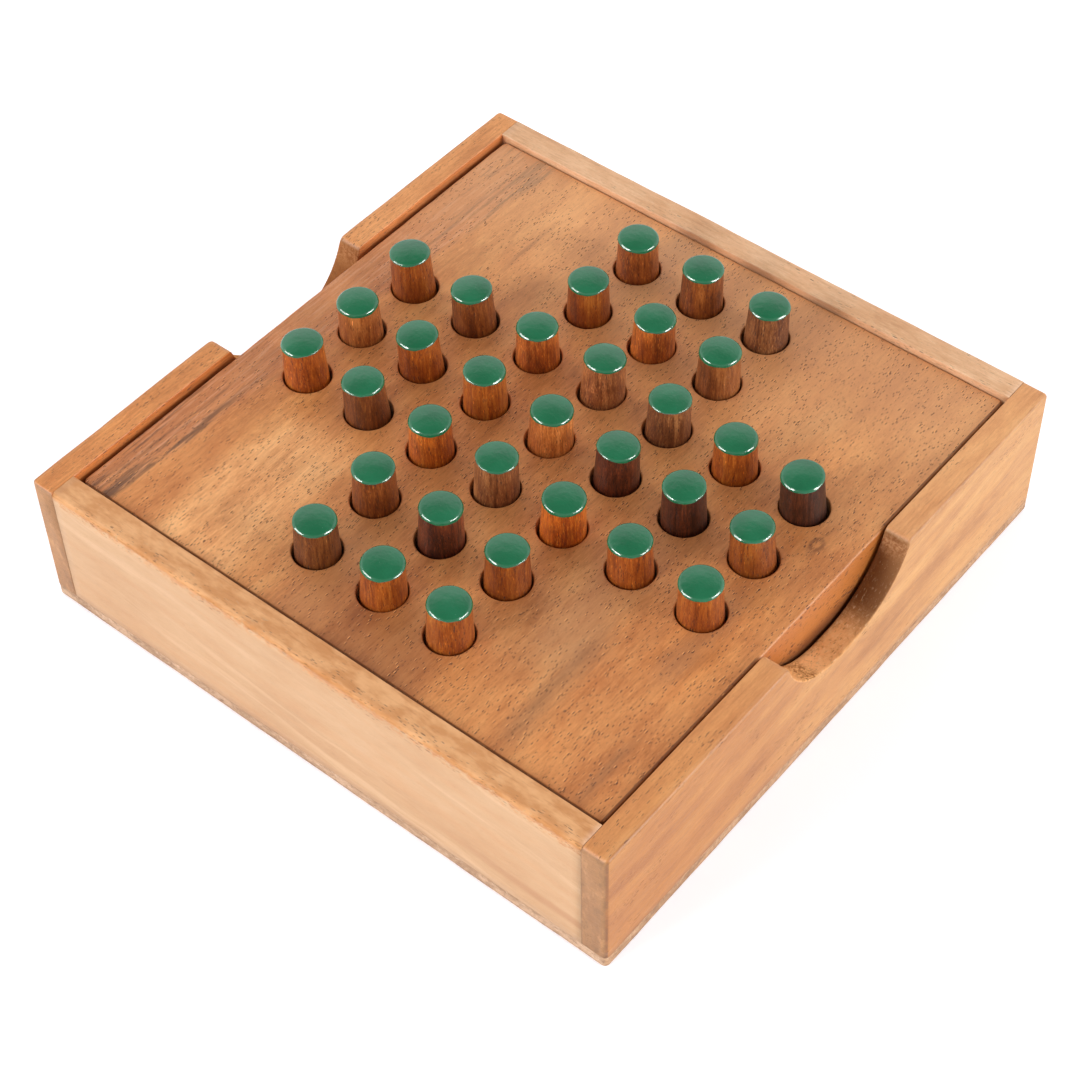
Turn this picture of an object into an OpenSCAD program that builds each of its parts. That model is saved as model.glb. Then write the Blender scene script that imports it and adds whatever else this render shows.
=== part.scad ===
// Peg solitaire set: a glued square tray with two finger notches, a drop-in
// board with 33 blind holes in a cross, and 33 loose pegs.
// Millimetres. +Z is up. The origin is the middle of the tray's underside.
// +X points at the right notched wall, +Y at the back wall.

/* [Tray] */
// Outside width and depth of the square tray
tray_w = 130; // [126:1:150]
// Overall height of the tray
tray_h = 31; // [30:0.5:36]
// Thickness of the two notched side walls
side_t = 5.2; // [4.6:0.1:6]
// Thickness of the front and back walls
end_t = 5.5; // [5:0.1:6]
// Thickness of the base panel
base_t = 2.8; // [2:0.2:3.6]
// Rounding of the outside top edges
edge_r = 0.8; // [0.4:0.1:1.6]
// Rounding of the four upright corners
corner_r = 1.0; // [0.4:0.1:2]
// Rounding of the rim's inside edge
rim_r = 0.3; // [0.2:0.1:0.8]
// Width of the two strips that carry the board
ledge_w = 5; // [3:0.5:8]

/* [Finger notches] */
// Radius of the notch at each side
notch_r = 17; // [14:1:20]
// Length of the flat floor between the two radii
notch_flat = 3; // [1:1:8]
// Depth of the notch below the rim
notch_deep = 12.5; // [8:0.5:13]
// Rounding of the notch's lips
lip_r = 1.5; // [0.5:0.1:2]
// How far the right notch sits behind the middle of its wall
right_notch_off = 1.8; // [-4:0.2:4]
// How far the left notch sits behind the middle of its wall
left_notch_off = -1.4; // [-4:0.2:4]

/* [Board] */
// Thickness of the board
board_t = 15; // [12:0.5:15]
// How far the board sits below the rim
board_drop = 1.3; // [0:0.1:2]
// Total play of the board between the front and back walls
board_play = 1.0; // [0.8:0.1:2]
// Rounding of the board's edges
board_r = 0.6; // [0.3:0.1:1]
// Rounding of the board's four corners
board_corner_r = 1.2; // [0.4:0.1:2]

/* [Holes and pegs] */
// Distance between neighbouring holes
pitch = 15.1; // [13:0.1:15.5]
// Diameter of the holes
hole_d = 9.2; // [8.8:0.1:9.8]
// Depth of the holes
hole_deep = 10; // [8:0.5:10.5]
// How far the rows of holes sit behind the middle of the board
rows_back = 0.4; // [0:0.1:0.6]
// Diameter of the part of a peg that sits in the hole
peg_d = 8.4; // [7:0.1:8.6]
// How much narrower a peg is at its top
peg_taper = 0.8; // [0:0.05:1]
// Length of a peg
peg_len = 18.5; // [15:0.5:22]
// Largest lean of a peg that stands loose in its hole, in degrees
lean_deg = 4; // [0:0.5:4]

/* [Hidden] */
// Tray
half_w = tray_w / 2;
wall_h = tray_h - base_t;
inner_x = half_w - side_t;
inner_y = half_w - end_t;
base_edge_r = 0.5;
ledge_edge_r = 0.4;

// Board: it sits a little off centre, but always clear of the back wall
board_w = tray_w - 2 * end_t - board_play;
board_x = 0.2;
board_gap = 0.05;
board_y = min(0.35, board_play / 2 - board_gap);
board_z = tray_h - board_drop - board_t;
board_top = board_z + board_t;
ledge_h = board_z - base_t;

// Holes
hole_z = board_top - hole_deep;
hole_chamfer = 0.2;

// Pegs
peg_foot = 0.5;        // chamfer of the foot
peg_round_r = 0.6;     // rounding of the top edge
crown_r = 14;
taper_below = 2;       // how far below the hole's mouth the taper starts
length_spread = 0.3;   // longest and shortest peg, either side of peg_len
lean_clear = 0.07;     // play that a leaning peg leaves unused
play = (hole_d - peg_d) / 2;
lean_max = min(lean_deg, atan(2 * (play - lean_clear) / hole_deep));

over = 1;              // how far a cutter runs past the face it cuts

// The cross: each place is [column, row], counted from the front left of a
// 7 x 7 grid, kept where its column or its row is one of the middle three
middle = 3;
function in_cross(column, row) = abs(column - middle) <= 1 || abs(row - middle) <= 1;
places = [
    for (row = [0 : 2 * middle])
        for (column = [0 : 2 * middle])
            if (in_cross(column, row)) [column, row]
];
function peg_name(k) = str("peg_", k < 10 ? "0" : "", k);

// ---- shared shapes ----

// What a rounded corner at the origin takes away
module corner_cut(radius) {
    difference() {
        translate([-over, -over]) square(radius + over);
        translate([radius, radius]) circle(radius, $fn = 48);
    }
}

// Rectangle with its own radius at each corner:
// lower left, lower right, upper right, upper left
module soft_rect(width, height, radii) {
    difference() {
        square([width, height]);
        if (radii[0] > 0) corner_cut(radii[0]);
        if (radii[1] > 0) translate([width, 0]) mirror([1, 0]) corner_cut(radii[1]);
        if (radii[2] > 0) translate([width, height]) rotate(180) corner_cut(radii[2]);
        if (radii[3] > 0) translate([0, height]) mirror([0, 1]) corner_cut(radii[3]);
    }
}

// The radii of four equal corners, and of the two lower ones only
function all_corners(radius) = [radius, radius, radius, radius];
function lower_corners(radius) = [radius, radius, 0, 0];

// Extrusions along X and along Y, from plans drawn in the YZ and XZ planes
module along_x(length) {
    rotate([90, 0, 90]) linear_extrude(length) children();
}

module along_y(length) {
    translate([0, length, 0]) rotate([90, 0, 0]) linear_extrude(length) children();
}

// ---- tray ----

module base_panel() {
    color([0.72, 0.56, 0.42])
    intersection() {
        translate([-half_w, -half_w, 0]) linear_extrude(base_t)
            soft_rect(tray_w, tray_w, all_corners(corner_r));
        translate([-half_w, -half_w, 0]) along_y(tray_w)
            soft_rect(tray_w, base_t, lower_corners(base_edge_r));
        translate([-half_w, -half_w, 0]) along_x(tray_w)
            soft_rect(tray_w, base_t, lower_corners(base_edge_r));
    }
}

// A plain wall between the side walls: its outer face is at y = 0
module plain_wall() {
    translate([-inner_x, 0, base_t]) along_x(2 * inner_x)
        soft_rect(end_t, wall_h, [0, 0, rim_r, edge_r]);
}

module front_wall() {
    color([0.90, 0.72, 0.53]) translate([0, -half_w, 0]) plain_wall();
}

module back_wall() {
    color([0.82, 0.60, 0.42]) mirror([0, 1, 0]) translate([0, -half_w, 0]) plain_wall();
}

// The notch seen from the side, with the rim's line at height 0: two arcs, a
// short flat floor and rounded lips
module notch_shape() {
    above = 2;                    // how far the shape rises past the rim
    half_flat = notch_flat / 2;
    arc_z = notch_r - notch_deep;
    // Each lip's circle touches the rim's line from below and the arc from outside
    centre_dist = notch_r + lip_r;
    lip_down = arc_z + lip_r;     // from the arc's centre to the lip's
    lip_out = sqrt(pow(centre_dist, 2) - lip_down * lip_down);
    lip_y = half_flat + lip_out;
    touch_y = half_flat + lip_out * notch_r / centre_dist;
    touch_z = arc_z - lip_down * notch_r / centre_dist;

    for (side = [-1, 1]) translate([side * half_flat, arc_z]) circle(notch_r, $fn = 96);
    translate([-half_flat, -notch_deep]) square([notch_flat, notch_deep + above]);
    difference() {
        polygon([[-lip_y, above], [-lip_y, 0], [-touch_y, touch_z],
                 [touch_y, touch_z], [lip_y, 0], [lip_y, above]]);
        for (side = [-1, 1]) translate([side * lip_y, -lip_r]) circle(lip_r, $fn = 48);
    }
}

// A notched wall: its inner face is at x = 0
module notched_wall(notch_off) {
    intersection() {
        translate([0, -half_w, base_t]) along_y(tray_w)
            soft_rect(side_t, wall_h, [0, 0, edge_r, rim_r]);
        translate([0, -half_w, base_t]) linear_extrude(wall_h)
            soft_rect(side_t, tray_w, [0, corner_r, corner_r, 0]);
        along_x(side_t) difference() {
            translate([-half_w, base_t])
                soft_rect(tray_w, wall_h, [0, 0, edge_r, edge_r]);
            translate([notch_off, tray_h]) notch_shape();
        }
    }
}

module right_side_wall() {
    color([0.86, 0.64, 0.44]) translate([inner_x, 0, 0]) notched_wall(right_notch_off);
}

module left_side_wall() {
    color([0.82, 0.58, 0.38]) mirror([1, 0, 0]) translate([inner_x, 0, 0])
        notched_wall(left_notch_off);
}

// A strip along the foot of a plain wall: its outer face is at y = 0
module ledge() {
    translate([-inner_x, 0, base_t]) along_x(2 * inner_x)
        soft_rect(ledge_w, ledge_h, [0, 0, ledge_edge_r, 0]);
}

module front_ledge() {
    color([0.80, 0.60, 0.42]) translate([0, -inner_y, 0]) ledge();
}

module back_ledge() {
    color([0.80, 0.60, 0.42]) mirror([0, 1, 0]) translate([0, -inner_y, 0]) ledge();
}

// ---- board ----

// Moves its children to the axis of the hole at a place
module at_place(place) {
    translate([board_x + (place[0] - middle) * pitch,
               board_y + rows_back + (place[1] - middle) * pitch, 0])
        children();
}

// A blind hole with a 45-degree chamfer at its mouth
module hole_cutter() {
    cone_h = 1;
    translate([0, 0, hole_z]) cylinder(h = hole_deep + over, d = hole_d, $fn = 64);
    translate([0, 0, board_top - hole_chamfer])
        cylinder(h = cone_h, d1 = hole_d, d2 = hole_d + 2 * cone_h, $fn = 64);
}

module peg_board() {
    color([0.82, 0.56, 0.37])
    difference() {
        translate([board_x - board_w / 2, board_y - board_w / 2, board_z])
        intersection() {
            linear_extrude(board_t) soft_rect(board_w, board_w, all_corners(board_corner_r));
            along_y(board_w) soft_rect(board_w, board_t, all_corners(board_r));
            along_x(board_w) soft_rect(board_w, board_t, all_corners(board_r));
        }
        for (place = places) at_place(place) hole_cutter();
    }
}

// ---- pegs ----

// Half of a peg's outline: a chamfered foot, a straight lower part, a taper,
// a rounded top edge and a low crown, each arc tangent to the next
module peg_outline(length) {
    foot_r = peg_d / 2;
    top_r = foot_r - peg_taper / 2;
    round_x = top_r - peg_round_r;
    crown_z = length - crown_r;
    // Height of the rounding's centre, and the angle at which it meets the crown
    round_z = crown_z + sqrt(pow(crown_r - peg_round_r, 2) - pow(round_x, 2));
    meet_angle = atan2(round_z - crown_z, round_x);
    // The windows start a little low, to overlap the body, and end above the top
    round_sink = 0.3;
    crown_sink = 0.2;
    window_h = 3;
    ray = 2;

    polygon([[0, 0], [foot_r - peg_foot, 0], [foot_r, peg_foot],
             [foot_r, hole_deep - taper_below], [top_r, round_z], [0, round_z]]);
    intersection() {
        translate([round_x, round_z]) circle(peg_round_r, $fn = 48);
        translate([0, round_z - round_sink]) square([top_r, window_h]);
    }
    intersection() {
        translate([0, crown_z]) circle(crown_r, $fn = 96);
        polygon([[0, round_z - crown_sink], [round_x, round_z - crown_sink],
                 [round_x, round_z],
                 [round_x + ray * cos(meet_angle), round_z + ray * sin(meet_angle)],
                 [0, round_z + window_h]]);
    }
}

// A peg leans within the play of its hole, one way or the other by column, and
// lengths vary a little. The sines only scatter the values from place to place.
function lean(place) =
    lean_max * sin(61 * place[0] - place[1] - 108)
    * (0.75 + 0.25 * cos(131 * place[0] + 77 * place[1]));
function lean_heading(place) = 39 + 45 * sin(83 * place[0] + 149 * place[1]);
function peg_length(place) = peg_len + length_spread * sin(113 * place[0] + 201 * place[1]);

// A peg tilts about the middle of its hole, lifted to keep its foot off the floor
module peg(place) {
    tilt = lean(place);
    lift = (peg_d / 2) * sin(abs(tilt));
    color([0.56, 0.29, 0.13])
    at_place(place) translate([0, 0, hole_z + hole_deep / 2])
        rotate([0, 0, lean_heading(place)]) rotate([0, tilt, 0])
            translate([0, 0, lift - hole_deep / 2])
                rotate_extrude($fn = 64) peg_outline(peg_length(place));
}

base_panel();
front_wall();
back_wall();
left_side_wall();
right_side_wall();
front_ledge();
back_ledge();
peg_board();
for (k = [1:len(places)])
    peg(places[k - 1]);
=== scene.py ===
"""A wooden peg solitaire: a square tray of four walls on a base panel, a drilled board inside it
and a cross of 33 dowels with green enamel tops. The tray is centred on the origin and stands on
z = 0. +X is right, +Y is the back, +Z is up. Shapes are worked out in millimetres."""

import math
from types import SimpleNamespace

import bpy
import numpy as np
from mathutils import Matrix, Vector


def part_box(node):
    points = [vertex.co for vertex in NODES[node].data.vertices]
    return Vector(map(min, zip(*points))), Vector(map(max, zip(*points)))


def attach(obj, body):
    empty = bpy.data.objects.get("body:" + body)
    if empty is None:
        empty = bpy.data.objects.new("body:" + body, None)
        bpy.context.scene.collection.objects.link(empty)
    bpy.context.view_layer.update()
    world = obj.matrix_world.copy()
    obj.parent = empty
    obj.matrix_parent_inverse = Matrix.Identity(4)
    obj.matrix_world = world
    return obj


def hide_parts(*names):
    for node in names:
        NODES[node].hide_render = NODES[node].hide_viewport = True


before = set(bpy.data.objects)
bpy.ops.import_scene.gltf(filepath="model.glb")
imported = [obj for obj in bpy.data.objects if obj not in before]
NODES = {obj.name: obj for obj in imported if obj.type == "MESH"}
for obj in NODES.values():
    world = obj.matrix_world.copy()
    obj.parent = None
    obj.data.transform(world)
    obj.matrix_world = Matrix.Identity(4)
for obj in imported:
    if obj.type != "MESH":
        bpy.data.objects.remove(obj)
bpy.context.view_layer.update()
MM = 0.001


# ------------------------------------------------------------------ sizes, in mm

def box_mm(name):
    """The lowest and highest corner of one of the frame's pieces."""
    return [corner * 1000 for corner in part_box(name)]


low, high = box_mm("base_panel")
HALF = high.x                       # from the middle to the outer face of a wall
BASE_T = high.z
low, high = box_mm("right_side_wall")
RIM_Z, IN_X = high.z, low.x         # the walls' top and the side walls' inner face
IN_Y = box_mm("back_wall")[0].y     # the front and back walls' inner face
SIDE_T, END_T = HALF - IN_X, HALF - IN_Y

low, high = box_mm("peg_board")
BOARD_X, BOARD_Y = (low.x + high.x) / 2, (low.y + high.y) / 2
BOARD_EDGE = (high.x - low.x) / 2
BOARD_HALF = BOARD_EDGE - 0.02      # the modelled board is a hair narrower
BOARD_BOTTOM, BOARD_TOP = low.z, high.z
ROWS_BACK = 0.4                     # the rows of holes sit this far behind the board's middle
PITCH, HOLE_R, HOLE_DEEP = 15.1, 4.6, 10.0
HOLE_LIP = 0.28                     # rounding of a hole's mouth
BOARD_EDGE_R, BOARD_CORNER_R = 0.42, 1.1

RIGHT_NOTCH_Y, LEFT_NOTCH_Y = 1.8, -1.4
NOTCH_R, NOTCH_FLAT, NOTCH_DEEP, NOTCH_LIP_R = 17.0, 3.0, 12.5, 1.5
WALL_CORNER_R = 1.0
BASE_CORNER_R, BASE_FOOT_R = 1.0, 0.4

TOP_R = 3.80                        # a dowel's radius just under its rounded edge
ROUND_R, CROWN_R = 0.6, 14.0        # radius of that edge and of the domed crown
DOWEL_TAPER = 0.039                 # growth in radius per mm down the dowel
ENAMEL_T = 0.13


# ------------------------------------------------------------------ colours

def linear(*rgb):
    """An 8-bit colour as the linear colour a shader takes."""
    out = []
    for level in rgb:
        level /= 255.0
        out.append(level / 12.92 if level <= 0.04045 else ((level + 0.055) / 1.055) ** 2.4)
    return (*out, 1.0)


def scaled(rgb, factor):
    return tuple(min(255, int(level * factor)) for level in rgb)


# ------------------------------------------------------------------ node tree helpers

class Value:
    """A shader output that can be reckoned with: +, -, * and abs() each add a math node."""

    def __init__(self, tree, socket):
        self.tree, self.socket = tree, socket

    def __add__(self, other):
        return self.tree.math("ADD", self, other)

    def __radd__(self, other):
        return self.tree.math("ADD", other, self)

    def __sub__(self, other):
        return self.tree.math("SUBTRACT", self, other)

    def __rsub__(self, other):
        return self.tree.math("SUBTRACT", other, self)

    def __mul__(self, other):
        return self.tree.math("MULTIPLY", self, other)

    def __abs__(self):
        return self.tree.math("ABSOLUTE", self)

    def centred(self, weight):
        """Noise swung about zero, times a weight."""
        return (self - 0.5) * weight


class Tree:
    """Builds the node tree of a material or a world with short calls."""

    def __init__(self, owner):
        owner.use_nodes = True
        self.owner = owner
        self.tree = owner.node_tree
        self.tree.nodes.clear()

    def node(self, kind, inputs=None, **props):
        node = self.tree.nodes.new(kind)
        for key, value in props.items():
            setattr(node, key, value)
        for key, value in (inputs or {}).items():
            if isinstance(value, Value):
                self.tree.links.new(value.socket, node.inputs[key])
            else:
                node.inputs[key].default_value = value
        return node

    def value(self, node, output=0):
        return Value(self, node.outputs[output])

    def math(self, operation, *terms):
        return self.value(self.node("ShaderNodeMath", dict(enumerate(terms)), operation=operation))

    def larger(self, one, other):
        return self.math("MAXIMUM", one, other)

    def length(self, x, y):
        return self.math("SQRT", x * x + y * y)

    def vector(self, *parts):
        return self.value(self.node("ShaderNodeCombineXYZ", dict(enumerate(parts))))

    def split(self, source, kind="XYZ"):
        node = self.node("ShaderNodeSeparate" + kind, {0: source})
        return [self.value(node, k) for k in range(3)]

    def coordinates(self, output):
        return self.value(self.node("ShaderNodeTexCoord"), output)

    def object_mm(self):
        """The object's x, y and z in mm."""
        return [part * 1000.0 for part in self.split(self.coordinates("Object"))]

    def attribute(self, name):
        return self.value(self.node("ShaderNodeAttribute", attribute_name=name), "Fac")

    def stretched(self, point, per_mm):
        """A texture point from three coordinates and the features per mm along each."""
        return self.vector(*[part * rate for part, rate in zip(point, per_mm)])

    def noise(self, point, per_mm=None, detail=2.0, rough=0.5, scale=1.0):
        vector = self.stretched(point, per_mm) if per_mm else point
        return self.value(self.node("ShaderNodeTexNoise", {
            "Vector": vector, "Scale": scale, "Detail": detail, "Roughness": rough}))

    def noise_along(self, position, detail, rough):
        """Noise in one dimension."""
        node = self.node("ShaderNodeTexNoise", noise_dimensions="1D")
        inputs = {"W": position, "Scale": 1.0, "Detail": detail, "Roughness": rough}
        for key, value in inputs.items():
            if isinstance(value, Value):
                self.tree.links.new(value.socket, node.inputs[key])
            else:
                node.inputs[key].default_value = value
        return self.value(node)

    def cells(self, point, per_mm):
        """Distance from the nearest cell's middle, and that cell's random colour."""
        node = self.node("ShaderNodeTexVoronoi", {
            "Vector": self.stretched(point, per_mm), "Scale": 1.0, "Randomness": 1.0})
        return self.value(node, "Distance"), self.value(node, "Color")

    def fade(self, value, start, end, at_start=0.0, at_end=1.0, smooth=True):
        """Goes from at_start to at_end as the value goes from start to end, and holds beyond."""
        node = self.node("ShaderNodeMapRange", {
            "Value": value, "From Min": start, "From Max": end,
            "To Min": at_start, "To Max": at_end,
        }, clamp=True, interpolation_type="SMOOTHSTEP" if smooth else "LINEAR")
        return self.value(node, "Result")

    def ramp(self, value, stops):
        """A colour ramp through (position, linear colour) stops."""
        node = self.node("ShaderNodeValToRGB", {0: value})
        elements = node.color_ramp.elements
        while len(elements) < len(stops):
            elements.new(0.5)
        for element, (position, color) in zip(elements, stops):
            element.position = position
            element.color = color
        return self.value(node)

    def mix(self, amount, under, over, blend="MIX"):
        return self.value(self.node("ShaderNodeMix", {0: amount, 6: under, 7: over},
                                    data_type="RGBA", blend_type=blend, clamp_factor=True), 2)

    def tint(self, under, amount, over):
        """Lays one colour over another. Either may be an 8-bit colour."""
        under, over = (linear(*c) if isinstance(c, tuple) else c for c in (under, over))
        return self.mix(amount, under, over)

    def multiply(self, under, amount, factors):
        return self.mix(amount, under, (*factors, 1.0), "MULTIPLY")

    def finish(self, color, rough, spec, height=None, bump=0.0, bump_depth=0.0,
               coat=0.0, coat_rough=0.1):
        """Adds the surface shader and the output, and returns the shader node."""
        shader = self.node("ShaderNodeBsdfPrincipled", {
            "Base Color": color, "Roughness": rough, "Specular IOR Level": spec,
            "Coat Weight": coat, "Coat Roughness": coat_rough})
        if height is not None:
            relief = self.node("ShaderNodeBump", {
                "Strength": bump, "Distance": bump_depth, "Height": height})
            self.tree.links.new(relief.outputs[0], shader.inputs["Normal"])
        self.node("ShaderNodeOutputMaterial", {0: self.value(shader)})
        return shader


# ------------------------------------------------------------------ wood

# for each grain axis, the object axes that run across, through and along the grain
GRAIN_AXES = {"X": (1, 2, 0), "Y": (0, 2, 1), "Z": (0, 1, 2)}


def wood(name, axis, seed, tones, *, pith, warp, figure, fibre, cloud, pore, rough, tilt=0.0,
         pore_size=1.0, pore_range=(0.36, 0.58), pore_some=(0.15, 0.7), pore_col=(70, 38, 22),
         fleck=0.4, small=0.25, end_col=(176, 142, 112), end_grey=0.5, spec=0.4, contrast=1.0,
         grain=0.16, hook=None):
    """Solid wood: rings about a pith line, cloudy tone, fibres and open pores that run along one
    axis, so long grain shows dashes and end grain shows dots.

    tones                    dark, mid, light and pale 8-bit colours
    pith, warp               place of the ring centre across the grain and wander of the rings, mm
    tilt                     angle between the piece and its grain, radians
    figure, fibre, cloud,
    grain, contrast          strengths of rings, fibres, clouds, short strands and the whole tone
    pore, fleck, small       strengths of open pores, their pale lips and the finest pores
    pore_range, pore_some    noise range over which pores gather, and share of them that opens
    end_col, end_grey        colour of the end grain and how much of it shows
    hook                     the piece's own figure: returns a colour and a dict of adjustments
    """
    g = Tree(bpy.data.materials.new(name))
    position = g.object_mm()
    across, through, along = (position[k] for k in GRAIN_AXES[axis])
    if tilt:
        cosine, sine = math.cos(tilt), math.sin(tilt)
        through, along = (through * cosine - along * sine, through * sine + along * cosine)
    # every wood is taken from its own place in the noise
    point = (across + 37.1 * seed, through + 53.7 * seed, along + 91.3 * seed)

    # slow wander of the grain, and rings about the pith
    slow = g.noise(point, (0.030, 0.030, 0.011))
    sway = g.noise(point, (0.11, 0.11, 0.035))
    wander = slow.centred(2 * warp) + sway.centred(0.45 * warp)
    radius = g.length(across - pith[0], through - pith[1]) + wander
    broad_rings = g.noise_along(radius * 0.19 + seed * 7.3, detail=2.0, rough=0.55)
    fine_rings = g.noise_along(radius * 1.0 + seed * 3.1, detail=2.5, rough=0.6)

    # fibres of three lengths and clouds of two sizes
    long = g.noise(point, (2.2, 2.2, 0.14), detail=3.0, rough=0.6)
    short = g.noise(point, (7.0, 7.0, 1.3), detail=2.0, rough=0.6)
    strands = g.noise(point, (2.7, 2.7, 0.34), detail=3.0, rough=0.6)
    big_cloud = g.noise(point, (0.10, 0.10, 0.042), detail=4.0, rough=0.62)
    small_cloud = g.noise(point, (0.42, 0.42, 0.16), detail=3.0, rough=0.6)
    tone = (broad_rings.centred(figure * 1.6) + fine_rings.centred(figure * 0.6)
            + long.centred(fibre * 1.4) + short.centred(fibre * 0.9)
            + big_cloud.centred(cloud * 2.0) + small_cloud.centred(cloud * 1.1))
    stops = zip((0.08, 0.38, 0.64, 0.95), tones)
    col = g.ramp(tone * contrast + 0.5, [(place, linear(*rgb)) for place, rgb in stops])

    # patches a little more orange or a little greyer
    hue = g.noise(point, (0.16, 0.16, 0.07), detail=3.0, rough=0.6)
    mottle = min(1.0, cloud * 1.6)
    col = g.multiply(col, g.fade(hue, 0.55, 0.72, 0, 0.22 * mottle), (1.10, 0.93, 0.76))
    col = g.multiply(col, g.fade(hue, 0.46, 0.30, 0, 0.30 * mottle), (0.86, 0.90, 0.97))
    # hair-fine tone changes from fibre to fibre, then from strand to strand
    dark, pale = tones[0], tones[3]
    col = g.tint(col, g.fade(short, 0.52, 0.78, 0, 0.55 * fibre), scaled(pale, 1.10))
    col = g.tint(col, g.fade(long, 0.50, 0.30, 0, 0.60 * fibre), scaled(dark, 0.86))
    col = g.tint(col, g.fade(strands, 0.53, 0.72, 0, grain), scaled(pale, 1.12))
    col = g.tint(col, g.fade(strands, 0.47, 0.29, 0, 1.15 * grain), scaled(dark, 0.80))

    normal = g.split(g.value(g.node("ShaderNodeNewGeometry"), "True Normal"))
    extra = {}
    if hook:
        layers = SimpleNamespace(long=long, short=short, slow=sway, cloud=small_cloud,
                                 normal=normal)
        col, extra = hook(g, col, *position, layers)

    def pores_of(size, length, shift, smallest, largest):
        """Open pores of about one size (mm), drawn out along the grain by length."""
        per_mm = 2.0 / (size * pore_size)
        drift = sway.centred(2.0)
        shake = small_cloud.centred(0.5)
        moved = (point[0] + drift) + (shake + shift)
        distance, color = g.cells((moved, *point[1:]), (per_mm, per_mm, per_mm / length))
        red, green, _ = g.split(color, "Color")
        reach = g.fade(green, 0.0, 1.0, smallest, largest, smooth=False)
        return g.fade(reach - distance, -0.02, 0.055) * g.fade(red, *pore_some)

    # pores of two sizes, clustered in soft patches, with pale lips beside the large ones
    density = g.noise(point, (0.13, 0.13, 0.04), detail=3.0, rough=0.6)
    density = g.fade(density + extra.get("pores", 0.0), *pore_range)
    patch = g.noise(point, (0.42, 0.42, 0.13), detail=2.0, rough=0.6)
    density = density * g.fade(patch, 0.38, 0.56, 0.25, 1.0)
    large = pores_of(0.90, 4.4, 0.0, 0.12, 0.335) * density
    medium = pores_of(0.64, 3.8, 11.3, 0.13, 0.34) * g.fade(density, 0.0, 1.0, 0.14, 1.0)
    lips = pores_of(0.90, 4.4, 0.16, 0.13, 0.335) * density * (1.0 - large)
    pores = g.larger(large, medium * 0.8)
    col = g.tint(col, lips * extra.get("fleck", fleck), scaled(pale, 1.10))
    col = g.tint(col, pores * pore, pore_col)
    tiny = g.fade(g.cells(point, (5.0, 5.0, 1.0))[0], 0.26, 0.10)
    col = g.tint(col, tiny * small, scaled(dark, 0.62))

    # end grain drinks the oil: greyer, flatter, finely dotted
    end = g.fade(abs(normal[GRAIN_AXES[axis][2]]), 0.62, 0.93)
    if "not_end" in extra:
        end = end * (1.0 - extra["not_end"])
    dots = g.noise(point, (0.5, 3.4, 1.0), detail=4.0, rough=0.7)
    grey = g.tint(g.multiply(col, 1.0, (0.86, 0.84, 0.82)), end_grey, end_col)
    grey = g.tint(grey, g.fade(dots, 0.38, 0.66, 0.0, 0.42), scaled(end_col, 0.80))
    blot = g.noise(point, (0.60, 0.26, 0.30), detail=4.0, rough=0.66)
    grey = g.tint(grey, g.fade(blot, 0.53, 0.70, 0.0, 0.75), scaled(end_col, 1.14))
    grey = g.tint(grey, g.fade(blot, 0.47, 0.32, 0.0, 0.75), scaled(end_col, 0.82))
    grey = g.tint(grey, g.fade(short, 0.55, 0.75, 0.0, 0.35), scaled(end_col, 1.16))
    col = g.tint(col, end * 0.9, grey)

    # pores sink and fibres stand up; pores and end grain are duller
    height = (pores * -1.0 + tiny * -0.30 + short.centred(0.55) + long.centred(0.30)
              + strands.centred(2.6 * grain))
    if "height" in extra:
        height = height + extra["height"]
    dullness = rough + long.centred(0.22) + pores * 0.25 + end * 0.14
    g.finish(col, dullness, spec=extra.get("spec", spec), height=height,
             bump=0.45, bump_depth=0.00014)
    return g.owner


# ------------------------------------------------------------------ the pieces' own figure

# soft patches on the board: centre x, half width, y from, y to (mm), colour multiplier
BOARD_PATCHES = [
    (-33.0, 9.5, -64.0, -25.0, (1.33, 1.66, 2.15)),
    (-46.0, 4.5, -64.0, -34.0, (0.93, 0.88, 0.84)),
    (-20.0, 6.0, -66.0, -45.0, (1.05, 1.12, 1.18)),
    (-44.0, 6.0, -34.0, -16.0, (1.10, 1.18, 1.20)),
    (50.0, 6.0, -32.0, -6.0, (1.13, 1.15, 1.10)),
    (-33.0, 6.5, 38.0, 66.0, (1.20, 1.30, 1.40)),
    (-39.0, 9.0, 16.0, 38.0, (1.18, 1.26, 1.32)),
    (8.0, 12.5, -66.0, -46.0, (0.64, 0.58, 0.55)),
    (30.0, 19.0, 38.0, 66.0, (0.82, 0.70, 0.54)),
    (28.0, 9.0, -44.0, -16.0, (0.99, 1.12, 1.28)),
    (46.0, 9.0, 22.0, 38.0, (1.10, 1.12, 1.08)),
]

# smoky streaks on the board: centre x, half width, y from, y to (mm), colour, strength,
# lean (mm of x per mm of y), strength of the darker core
BOARD_SMOKE = [
    (36.6, 3.8, -55.0, -31.0, (146, 100, 66), 0.46, -0.03, 0.30),
    (53.6, 1.7, -56.0, -45.0, (146, 98, 64), 0.38, 0.0, 0.25),
    (31.0, 9.0, -38.0, -4.0, (172, 116, 78), 0.42, 0.0, 0.0),
    (49.0, 4.0, -30.0, -8.0, (176, 122, 82), 0.45, 0.0, 0.0),
    (-8.0, 9.0, -58.0, -36.0, (170, 112, 72), 0.50, 0.0, 0.0),
    (-34.6, 0.8, 33.0, 41.0, (150, 88, 48), 0.65, 0.0, 0.0),
    (-12.0, 5.0, 38.0, 60.0, (196, 146, 106), 0.4, 0.0, 0.0),
]


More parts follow.
